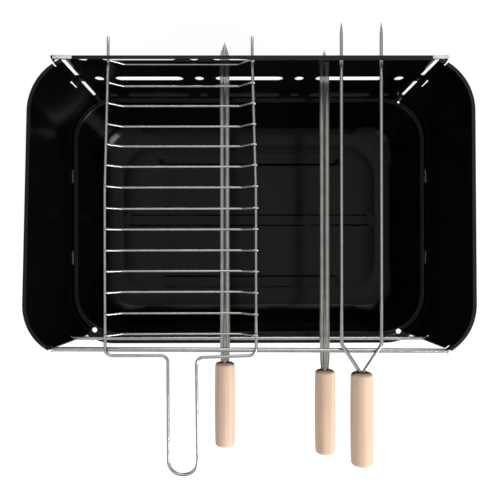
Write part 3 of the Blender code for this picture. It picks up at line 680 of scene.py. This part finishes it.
def makeSidePanel(side):
    name = "rightWindPanel" if side > 0 else "leftWindPanel"
    node = "right_side_panel" if side > 0 else "left_side_panel"
    arcSteps, straightSteps = 26, 24
    rows = hemRows(8)

    def place(column, row):
        inset, height = rows[row]
        radius = windshield["corner"] - inset
        if column <= arcSteps:
            angle = -frontAngle(side, height) * (1 - column / arcSteps)
            x, y = arcX + radius * cos(angle), -arcY + radius * sin(angle)
            high = (height - footZ) / (topZ - footZ)
            y += windshield["tipLift"][side] * high * (1 - column / arcSteps) ** 2
        elif column < arcSteps + straightSteps:
            x, y = arcX + radius, -arcY + 2 * arcY * (column - arcSteps) / straightSteps
        else:
            angle = windshield["rearWrap"][side] * (column - arcSteps - straightSteps) / arcSteps
            x, y = arcX + radius * cos(angle), arcY + radius * sin(angle)
        return leanIn(side, x, y, height), middleY + y, height

    bm = wrappedGrid(2 * arcSteps + straightSteps, len(rows) - 1, place)
    faceTowards(bm, (side, 0, 0))
    panel = thicken(linkMesh(name, bm), general["sheet"])
    cuts = []
    seat = windshield["railSeat"]
    for railNode in ("lower_front_rail", "upper_front_rail"):
        railY, railZ = railCentre(railNode)
        xLow, xHigh = sorted((side * windshield["halfX"], side * (arcX - 0.02)))
        cuts.append(boxCutter((xLow, railY - 0.012, railZ - seat), (xHigh, railY + seat, railZ + seat)))
    for bottom, top in cornerTabSpans():
        half = windshield["slitWidth"] / 2
        aside = side * windshield["slitAside"]
        slit = boxCutter((-0.012, aside - half, bottom - 0.0003), (0.008, aside + half, top + 0.0023))
        angle = slitAngle[side]
        turn = angle if side > 0 else pi - angle
        y = arcY + windshield["corner"] * sin(angle)
        x = leanIn(side, arcX + windshield["corner"] * cos(angle), y, (bottom + top) / 2)
        y += middleY
        slit.data.transform(Matrix.Translation((x, y, 0)) @ Matrix.Rotation(turn, 4, "Z"))
        cuts.append(slit)
    combine(panel, cuts, "DIFFERENCE")
    x = side * (windshield["halfX"] - general["sheet"] / 2)
    half = (general["sheet"] / 2, feet["width"] / 2)
    combine(panel, footTabs([((x, middleY + y), half) for y in (-feet["sideY"], feet["sideY"])]), "UNION")
    softenEdges(panel, windshield["edge"])
    smooth(panel)
    settle(panel, enamel, "root", "black_enamel", node)
    print(name, len(panel.data.polygons), "faces")

def cornerTab(side, bottom, top):
    # straight on behind the side panel's end, then hooked in through its slit
    outward = Vector((cos(slitAngle[side]), sin(slitAngle[side])))
    arc = Vector((arcX, middleY + arcY))
    lineY = rearFace - general["sheet"] / 2
    innerEnd = arc + outward * (windshield["corner"] - 2.5 * general["sheet"])
    bend = innerEnd + outward * ((lineY - innerEnd.y) / outward.y)
    corners = [(rearHalfX - 0.003, lineY, 0), (bend.x, lineY, 0), (innerEnd.x, innerEnd.y, 0)]
    path = filleted(corners, 0.0012, 6)

    def place(column, row):
        x, y, z = path[column].x, path[column].y, top if row else bottom
        return (leanIn(side, x, y - middleY, z) if column else side * x), y, z

    bm = wrappedGrid(len(path) - 1, 1, place)
    faceTowards(bm, (0, 1, 0))
    return thicken(linkMesh("cutter", bm), general["sheet"] * 0.96, 0.0)

def rearEnd(side, z):
    y = arcY + windshield["corner"]
    return leanIn(side, sideEndX[side] - windshield["cornerOpening"], y, z)

def makeRearPanel():
    rows = hemRows(8)

    def place(column, row):
        # the hem is bent over narrower on the left than on the right
        inset, height = rows[row]
        left, right = rearEnd(-1, height), rearEnd(1, height)
        x = left + (right - left) * column / 60
        wide = min(max((x + 0.012) / 0.02, 0.0), 1.0)
        if inset > windshield["hemBend"]:
            inset = windshield["hemNarrow"] + windshield["hemWider"] * wide
        return x, rearFace - inset, height

    bm = wrappedGrid(60, len(rows) - 1, place)
    faceTowards(bm, (0, 1, 0))
    panel = thicken(linkMesh("rearWindPanel", bm), general["sheet"] * 0.8)
    cuts = []
    for side in (-1, 1):
        end = rearEnd(side, topZ)
        xLow, xHigh = sorted((end - side * windshield["hemShort"], end + side * 0.004))
        back = rearFace - general["sheet"]
        cuts.append(boxCutter((xLow, back - 0.006, topZ - 0.006), (xHigh, back, topZ + 0.001)))
    upright = Matrix.Rotation(pi / 2, 4, "X")
    for height, tall in zip(slots["rows"], slots["slotHeight"]):
        for step in range(-3, 4):
            isHole = step % 2
            length, width = (slots["hole"], slots["hole"]) if isHole else (slotLength, tall)
            stretch = Matrix.Scale(slots["holeTall"] if isHole else 1.0, 4, (0, 1, 0))
            move = Matrix.Translation((step * slots["pitch"] / 2, rearFace, height)) @ upright @ stretch
            cuts.append(stadiumCutter(length, width, -0.003, 0.003, move))
    combine(panel, cuts, "DIFFERENCE")
    extras = [cornerTab(side, *span) for side in (-1, 1) for span in cornerTabSpans()]
    half = (feet["width"] / 2, general["sheet"] / 2)
    spots = [(step * slots["pitch"], rearFace - general["sheet"] / 2) for step in (-1, 0, 1)]
    extras += footTabs([(spot, half) for spot in spots])
    combine(panel, extras, "UNION")
    softenEdges(panel, windshield["edge"])
    smooth(panel)
    settle(panel, enamel, "root", "black_enamel", "rear_panel")
    print("rear wind panel", len(panel.data.polygons), "faces")

def makeCornerStrap(side):
    # bare end of the hem, led over to the side panel's corner
    start = rearEnd(side, topZ) - side * strap["lap"][side]
    outward = Vector((cos(slitAngle[side]), sin(slitAngle[side])))
    innerEnd = Vector((arcX, middleY + arcY)) + outward * (windshield["corner"] - strap["hookDepth"])
    bend = innerEnd + outward * ((rearFace - strap["middle"] - innerEnd.y) / outward.y)
    endX = leanIn(side, bend.x, arcY + windshield["corner"], topZ) - side * strap["short"][side]
    low = (min(start, endX), rearFace - strap["near"], topZ - strap["below"])
    high = (max(start, endX), rearFace - strap["far"], topZ + strap["above"])
    piece = boxCutter(low, high, strap["edge"])
    piece.name = "rightStrap" if side > 0 else "leftStrap"
    smooth(piece)
    settle(piece, strapSteel, "root", "bright_wire")

makeRearPanel()
for strapSide in (-1, 1):
    makeCornerStrap(strapSide)
for panelSide in (-1, 1):
    makeSidePanel(panelSide)

rails = {
    "diameter": {"lowerRail": 0.0040, "upperRail": 0.0045},
    "head": 1.25,
    "headLength": 0.0012,
    "short": 0.0050,
    # left and right end, out of line in Y
    "skew": {"lowerRail": (0.0, -0.0008), "upperRail": (-0.0006, -0.0031)},
}

def makeRail(node, name):
    y, z = railCentre(node)
    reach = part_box(node)[1][0] - rails["short"]
    neck = reach - rails["headLength"]
    head = rails["head"]
    stations = [(-reach, head * 0.7), (-reach + 0.0006, head), (-neck - 0.0004, head), (-neck, head * 0.92),
                (-neck + 0.0003, 1.0)]
    middle = [(x / 20 * (neck - 0.004), 1.0) for x in range(-20, 21)]
    stations += middle + [(-x, scale) for x, scale in reversed(stations)]
    leftSkew, rightSkew = rails["skew"][name]
    points = []
    for x, scale in stations:
        share = (x + reach) / (2 * reach)
        points.append(Vector((x, y + leftSkew + (rightSkew - leftSkew) * share, z)))
    rail = linkMesh(name, wireMesh(name, points, rails["diameter"][name], [scale for x, scale in stations]))
    smooth(rail)
    settle(rail, brightWire, "root", "bright_wire", node)

makeRail("lower_front_rail", "lowerRail")
makeRail("upper_front_rail", "upperRail")
print("rails made")

grid = {
    "wire": 0.003,
    "frontSkew": 0.0021,    # right of the loop the front wire starts this much lower
    "cross": 0.002,
    "count": 14,
    "dip": 0.0075,
    "slope": 0.014,
    "proud": 0.0005,
    "leftTrim": 0.0014,
    "bend": 0.007,
    "tailBend": 0.030,
    "loopBend": 0.0135,
    "loopEndAside": (0.0005, 0.0015),       # both sides of the loop lean to the right
    "weld": 0.0013,
    "loopGap": 0.028,
    "loopAside": 0.0013,
    "taperEnd": 0.130,
    "flare": 0.0035,        # each side, from the rear slots to the straight part
    "frontWire": 0.0064,
}
# each cross wire was welded a little off its even place
crossShift = [0.0002, -0.0010, -0.0002, 0.0001, 0.0010, 0.0014, 0.0014,
              0.0009, 0.0009, 0.0007, 0.0008, 0.0007, 0.0001, 0.0001]

def jointPlace(name):
    joints = frame["record"]["behaviour"]["joints"]
    return Vector(next(joint for joint in joints if joint["name"] == name)["pos_m"])

def makeGrid():
    low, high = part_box("grid_frame")
    z = jointPlace("grid_lift").z
    half = grid["wire"] / 2
    left, right = low[0] + half, high[0] - half
    rearLeft, rearRight = left + grid["flare"], right - grid["flare"]
    rear, loopEnd = high[1], low[1] + half
    front = railCentre("upper_front_rail")[0] - grid["frontWire"]
    taper = rearFace - grid["taperEnd"]
    middle = (left + right) / 2 + grid["loopAside"]
    halfGap = grid["loopGap"] / 2
    leftAside, rightAside = grid["loopEndAside"]
    outline = [(rearLeft, rear, z), (rearLeft, rearFace, z), (left, taper, z), (left, front, z),
               (middle - halfGap, front, z), (middle - halfGap + leftAside, loopEnd, z),
               (middle + halfGap + rightAside, loopEnd, z), (middle + halfGap, front - grid["frontSkew"], z),
               (right, front, z), (right, taper, z), (rearRight, rearFace, z), (rearRight, rear, z)]
    tailSide = [grid["tailBend"], grid["tailBend"], grid["bend"], grid["bend"], grid["loopBend"]]
    radii = tailSide + tailSide[::-1]
    points = [Vector(outline[0])]
    for index, radius in enumerate(radii):
        points += filleted(outline[index:index + 3], radius, 10)[1:-1]
    points.append(Vector(outline[-1]))
    frameWire = linkMesh("gridFrameWire", chamferedWire("gridFrameWire", points, grid["wire"]))
    smooth(frameWire)
    settle(frameWire, brightWire, "grid", "bright_wire", "grid_frame")
    for number in range(1, grid["count"] + 1):
        node = f"grid_wire_{number:02d}"
        wireLow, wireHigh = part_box(node)
        y = (wireLow[1] + wireHigh[1]) / 2 + crossShift[number - 1]
        lap = z + (grid["wire"] + grid["cross"]) / 2 + general["gap"] * 0.3
        xLeft = wireLow[0] + grid["proud"] + half
        xRight = wireHigh[0] - grid["proud"] - half
        ends = half + grid["cross"] / 2
        deep = z - grid["dip"]
        corners = [(wireLow[0] + grid["leftTrim"], lap), (xLeft + ends, lap), (xLeft + grid["slope"], deep),
                   (xRight - grid["slope"], deep), (xRight - ends, lap), (wireHigh[0], lap)]
        path = filleted([(x, y, height) for x, height in corners], grid["cross"], 6)
        bm = chamferedWire(node, path, grid["cross"])
        for x in (xLeft, xRight):
            # a spot weld, squeezed out a little between the two wires
            weld = bmesh.ops.create_uvsphere(bm, u_segments=14, v_segments=8, radius=grid["weld"])["verts"]
            bmesh.ops.scale(bm, vec=(0.95, 1.0, 0.55), verts=weld)
            bmesh.ops.translate(bm, vec=(x, y, z + half + 0.0001), verts=weld)
        crossWire = linkMesh(f"crossWire{number:02d}", bm)
        smooth(crossWire)
        settle(crossWire, brightWire, "grid", "bright_wire", node)

makeGrid()
print("grid made")

handle = {
    "waist": 0.955,         # share of the full radius near the ends
    "round": 0.0034,
    "bore": 0.0006,         # wider than the tang, each side
    "boreDepth": 0.04,
    "boreEdge": 0.0006,
    "endDarkFull": 0.0009,  # fully brown down to here below the end, fading out to the next
    "endDarkFades": 0.0026,
    "paintedHighlightOver": (0.15, 0.60, 0.75),       # painted highlight: the darker end pales towards the top between these shares of the radius, by this much
    "sides": 56,
}
# how far each tool lies off its even place in X
aside = {"left_skewer": -0.0012, "right_skewer": -0.0003, "fork": 0.0012}
skewer = {
    "sheet": 0.0007,
    "rib": 0.30,            # half width of the middle rib over the blade's
    "border": 0.22,         # width of a raised border over the blade's half width
    "borderHeight": 0.0009,
    "width": 0.0106,
    "ridge": 0.0026,
    "point": 0.016,
    "nose": (0.0004, 0.0005, 0.0004),       # distance from the tip, half width and rib's height
    "taper": [(0.004, 0.30, 0.35), (0.010, 0.72, 0.7)],     # the same, as shares of the full measures
    "tangIn": 0.038,
    "neck": 0.015,
    "neckWidth": 0.0088,
    "tang": 0.004,
}
fork = {
    "wire": 0.0035,
    "point": 0.012,
    "tip": ((0.0, 0.12), (0.0008, 0.25), (0.006, 0.68)),    # distance from the tip, share of the thickness
    "gap": 0.0393,
    "hairpin": 0.0038,
    "bend": 0.008,
    "shoulder": 0.004,
}

def makeHandle(node, name, body, boreDiameter):
    low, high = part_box(node)
    radius = (high[0] - low[0]) / 2
    length = high[1] - low[1]
    x, z = (high[0] + low[0]) / 2 + aside[body], (high[2] + low[2]) / 2
    bore = boreDiameter / 2 + handle["bore"]
    waist = radius * handle["waist"]
    soft = handle["round"]
    depth, edge = handle["boreDepth"], handle["boreEdge"]
    profile = [(0.0, -depth), (bore, -depth), (bore, -edge), (bore + edge, 0.0)]
    for step in range(9):
        angle = pi / 2 * step / 8
        profile.append((waist - soft * (1 - sin(angle)), -soft * (1 - cos(angle))))
    for step in range(1, 20):
        share = step / 20
        swell = sin(pi * share) ** 0.8
        profile.append((waist + (radius - waist) * swell, -soft - (length - 2 * soft) * share))
    for step in range(9):
        angle = pi / 2 * step / 8
        profile.append((waist - soft * (1 - cos(angle)), -length + soft * (1 - sin(angle))))
    profile.append((0.0, -length))
    bm = bmesh.new()
    verts = [bm.verts.new((r, along, 0)) for r, along in profile]
    edges = [bm.edges.new(pair) for pair in zip(verts, verts[1:])]
    bmesh.ops.spin(bm, geom=verts + edges, cent=(0, 0, 0), axis=(0, 1, 0), angle=2 * pi,
                   steps=handle["sides"],
                   use_merge=True)
    bmesh.ops.remove_doubles(bm, verts=bm.verts, dist=0.00001)
    bmesh.ops.recalc_face_normals(bm, faces=bm.faces)
    endDarkAndPaintedHighlight = bm.verts.layers.float.new("endDarkAndPaintedHighlight")
    paleFrom, paleTo, pale = handle["paintedHighlightOver"]
    for vert in bm.verts:
        fade = (vert.co.y + handle["endDarkFades"]) / (handle["endDarkFades"] - handle["endDarkFull"])
        # painted highlight: the darker end is painted paler on top, where light catches the rounded edge
        lit = min(max((vert.co.z / radius - paleFrom) / (paleTo - paleFrom), 0.0), 1.0)
        vert[endDarkAndPaintedHighlight] = min(max(fade, 0.0), 1.0) * (1 - pale * lit)
    bmesh.ops.translate(bm, vec=(x, high[1], z), verts=bm.verts)
    grip = linkMesh(name, bm)
    smooth(grip, radians(50))
    settle(grip, beech, body, "beech", node)

def bladeProfile():
    # across a blade: place, share of the middle rib's height and share of the border's
    made = []
    for step in range(25):
        side = step / 12 - 1
        rib = max(1 - abs(side) / skewer["rib"], 0.0)
        border = max((abs(side) - 1 + skewer["border"]) / skewer["border"], 0.0)
        made.append((side, rib * rib * (3 - 2 * rib), border * border * (3 - 2 * border)))
    return made

def makeSkewer(label):
    node = f"{label}_skewer_blade"
    low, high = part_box(node)
    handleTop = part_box(f"{label}_skewer_handle")[1][1]
    tangZ = low[2] + skewer["tang"] / 2
    x = (low[0] + high[0]) / 2 + aside[f"{label}_skewer"]
    half = skewer["width"] / 2
    away, wide, ridge = skewer["nose"]
    stations = [(high[1] - away, wide, ridge)]
    for away, wideShare, ridgeShare in skewer["taper"]:
        stations.append((high[1] - away, half * wideShare, skewer["ridge"] * ridgeShare))
    bodyStart, bodyEnd = high[1] - skewer["point"], handleTop + skewer["neck"]
    for step in range(31):
        stations.append((bodyStart - (bodyStart - bodyEnd) * step / 30, half, skewer["ridge"]))
    for step in range(1, 8):
        share = step / 7
        ease = share * share * (3 - 2 * share)
        width = half + (skewer["neckWidth"] / 2 - half) * ease
        run = (skewer["neck"] - 0.0004) * share
        stations.append((bodyEnd - run, width, skewer["ridge"] * (1 - 0.1 * ease)))
    profile = bladeProfile()
    across = len(profile) - 1

    def place(column, row):
        y, wide, ridge = stations[row]
        side, rise, border = profile[column]
        edge = border * skewer["borderHeight"] * ridge / skewer["ridge"]
        return x + side * wide, y, low[2] + ridge * rise + edge

    bm = wrappedGrid(across, len(stations) - 1, place)
    faceTowards(bm, (0, 0, 1))
    blade = thicken(linkMesh(f"{label}SkewerBlade", bm), skewer["sheet"], 1.0)
    rodPoints = [Vector((x, handleTop - skewer["tangIn"], tangZ)),
                 Vector((x, handleTop + skewer["neck"] * 0.35, tangZ)),
                 Vector((x, handleTop + skewer["neck"] * 0.6, tangZ - 0.0005))]
    softenEdges(blade, 0.00012, 1)
    rod = wireMesh("tang", rodPoints, skewer["tang"], [1.0, 1.0, 0.55])
    rod.from_mesh(blade.data)
    rod.to_mesh(blade.data)
    rod.free()
    smooth(blade)
    settle(blade, skewerSteel, f"{label}_skewer", "skewer_steel", node)
    makeHandle(f"{label}_skewer_handle", f"{label}SkewerGrip", f"{label}_skewer", skewer["tang"])

def makeFork():
    low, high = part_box("fork_wire")
    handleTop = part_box("fork_handle")[1][1]
    railY = railCentre("upper_front_rail")[0]
    x, z = (low[0] + high[0]) / 2 + aside["fork"], (low[2] + high[2]) / 2
    half, pin = fork["gap"] / 2, fork["hairpin"] / 2
    end = low[1] + pin + fork["wire"] / 2
    neck = handleTop + 0.0006
    side = filleted([(-half, high[1] - fork["point"], 0), (-half, railY + fork["shoulder"], 0),
                     (-pin, neck, 0),
                     (-pin, end, 0)], fork["bend"], 9)
    turn = [Vector((-pin * cos(pi * step / 10), end - pin * sin(pi * step / 10), 0))
            for step in range(1, 10)]
    back = [Vector((-point.x, point.y, 0)) for point in reversed(side)]
    tip = [Vector((-half, high[1] - away, 0)) for away, share in fork["tip"]]
    farTip = [Vector((half, point.y, 0)) for point in reversed(tip)]
    points = tip + side + turn + back + farTip
    shares = [share for away, share in fork["tip"]]
    scales = shares + [1.0] * (len(points) - 2 * len(shares)) + shares[::-1]
    placed = [point + Vector((x, 0, z)) for point in points]
    tines = linkMesh("forkTines", wireMesh("forkTines", placed, fork["wire"], scales))
    smooth(tines)
    settle(tines, brightWire, "fork", "bright_wire", "fork_wire")
    makeHandle("fork_handle", "forkGrip", "fork", fork["hairpin"] + fork["wire"])

for skewerLabel in ("left", "right"):
    makeSkewer(skewerLabel)
makeFork()
print("skewers and fork made")

leg = {
    "wire": 0.006,
    "clear": 0.002,         # to the tub's wall
    "splay": radians(15),
    "bend": 0.010,
    "pinBend": 0.0033,
    "length": 0.140,
    "head": 1.35,
    "headLength": 0.0022,
}

def makeLeg(label, side):
    pivot = jointPlace(f"{label}_leg_fold")
    low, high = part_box(f"{label}_leg")
    head = (high[1] - low[1]) / 2
    stub = head - leg["headLength"]
    bar = windshield["halfY"] - flange["in"] + general["sheet"] + leg["clear"] + leg["wire"] / 2
    down = -leg["length"]
    pinBend = filleted([(0, head, 0), (0, bar, 0), (0, bar, down / 2)], leg["pinBend"], 8)[1:-1]
    foot = filleted([(0, bar, 0), (0, bar, down), (0, -bar, down), (0, -bar, 0)], leg["bend"], 12)[1:-1]
    far = [Vector((0, -point.y, point.z)) for point in reversed(pinBend)]
    start = [Vector((0, head, 0)), Vector((0, head - 0.0007, 0)), Vector((0, stub, 0)),
             Vector((0, stub - 0.0003, 0))]
    finish = [Vector((0, -point.y, 0)) for point in reversed(start)]
    points = start + pinBend + foot + far + finish
    ends = [leg["head"] * 0.75, leg["head"], leg["head"], 1.0]
    scales = ends + [1.0] * (len(points) - 8) + ends[::-1]
    turn = Matrix.Rotation(-leg["splay"], 4, "Y")
    if side < 0:
        turn = Matrix.Rotation(pi, 4, "Z") @ turn
    place = Matrix.Translation(pivot) @ turn
    bm = wireMesh(f"{label}LegWire", points, leg["wire"], scales)
    bmesh.ops.transform(bm, matrix=place, verts=bm.verts)
    wire = linkMesh(f"{label}LegWire", bm)
    smooth(wire)
    settle(wire, brightWire, f"{label}_leg", "bright_wire", f"{label}_leg")
    for end in ("front", "rear"):
        clip = frame["nodes"][f"{label}_{end}_leg_clip"]
        clip.data.materials.clear()
        clip.data.materials.append(brightWire)

makeLeg("left", -1)
makeLeg("right", 1)
print("legs made")

studio = {
    "cameraPlace": (-0.0014, -0.0019, 0.7572),
    "cameraTurn": (0.003, -0.196, -0.089),
    "focalPixels": 495.3,
    "imageWidth": 500,
    "floorSize": 24.0,
    "floorDrop": 0.0002,
    "zenith": 0.80,
    "horizon": 0.35,
    "aim": (0, 0, 0.1),
}
# name, place, size and power of each lamp
lamps = [
    ("frontRight", (1.45, -1.35, 1.2), (0.9, 0.9), 44),
    ("frontLeft", (-1.2, -1.6, 1.3), (1.0, 0.8), 3),
    ("rearSide", (0.2, 1.9, 1.3), (1.4, 0.8), 12),
]

def makeFloor():
    bm = bmesh.new()
    bmesh.ops.create_grid(bm, x_segments=8, y_segments=8, size=studio["floorSize"] / 2)
    floor = linkMesh("studioFloor", bm)
    floor.data.transform(Matrix.Translation((0, 0, -studio["floorDrop"])))
    floor.data.materials.append(makeFloorPaint())

def makeSky():
    # dim walls all round under a bright ceiling
    world = bpy.data.worlds.new("studioWalls")
    bpy.context.scene.world = world
    world.use_nodes = True
    nodes, links = world.node_tree.nodes, world.node_tree.links
    direction = nodes.new("ShaderNodeTexCoord")
    split = nodes.new("ShaderNodeSeparateXYZ")
    links.new(direction.outputs["Generated"], split.inputs[0])
    stops = [(0.0, grey(studio["horizon"])), (0.42, grey(studio["horizon"])), (0.60, grey(0.45)),
             (1.0, grey(studio["zenith"]))]
    colour = colourRamp(nodes, links, split.outputs[2], stops)
    links.new(colour, nodes["Background"].inputs[0])

def addLight(name, place, size, power):
    light = bpy.data.lights.new(name, "AREA")
    light.shape = "RECTANGLE"
    light.size, light.size_y = size
    light.energy = power
    holder = bpy.data.objects.new(name, light)
    holder.location = place
    holder.rotation_euler = (Vector(studio["aim"]) - Vector(place)).to_track_quat("-Z", "Y").to_euler()
    bpy.context.scene.collection.objects.link(holder)

def makeCamera():
    lens = bpy.data.cameras.new("studioCamera")
    lens.sensor_width = 36.0
    lens.lens = studio["focalPixels"] / studio["imageWidth"] * lens.sensor_width
    lens.clip_start = 0.01
    holder = bpy.data.objects.new("studioCamera", lens)
    holder.location = studio["cameraPlace"]
    holder.rotation_euler = [radians(angle) for angle in studio["cameraTurn"]]
    bpy.context.scene.collection.objects.link(holder)
    bpy.context.scene.camera = holder

makeFloor()
makeSky()
for lamp in lamps:
    addLight(*lamp)
makeCamera()
bpy.context.scene.view_settings.view_transform = "Standard"

print("studio made")
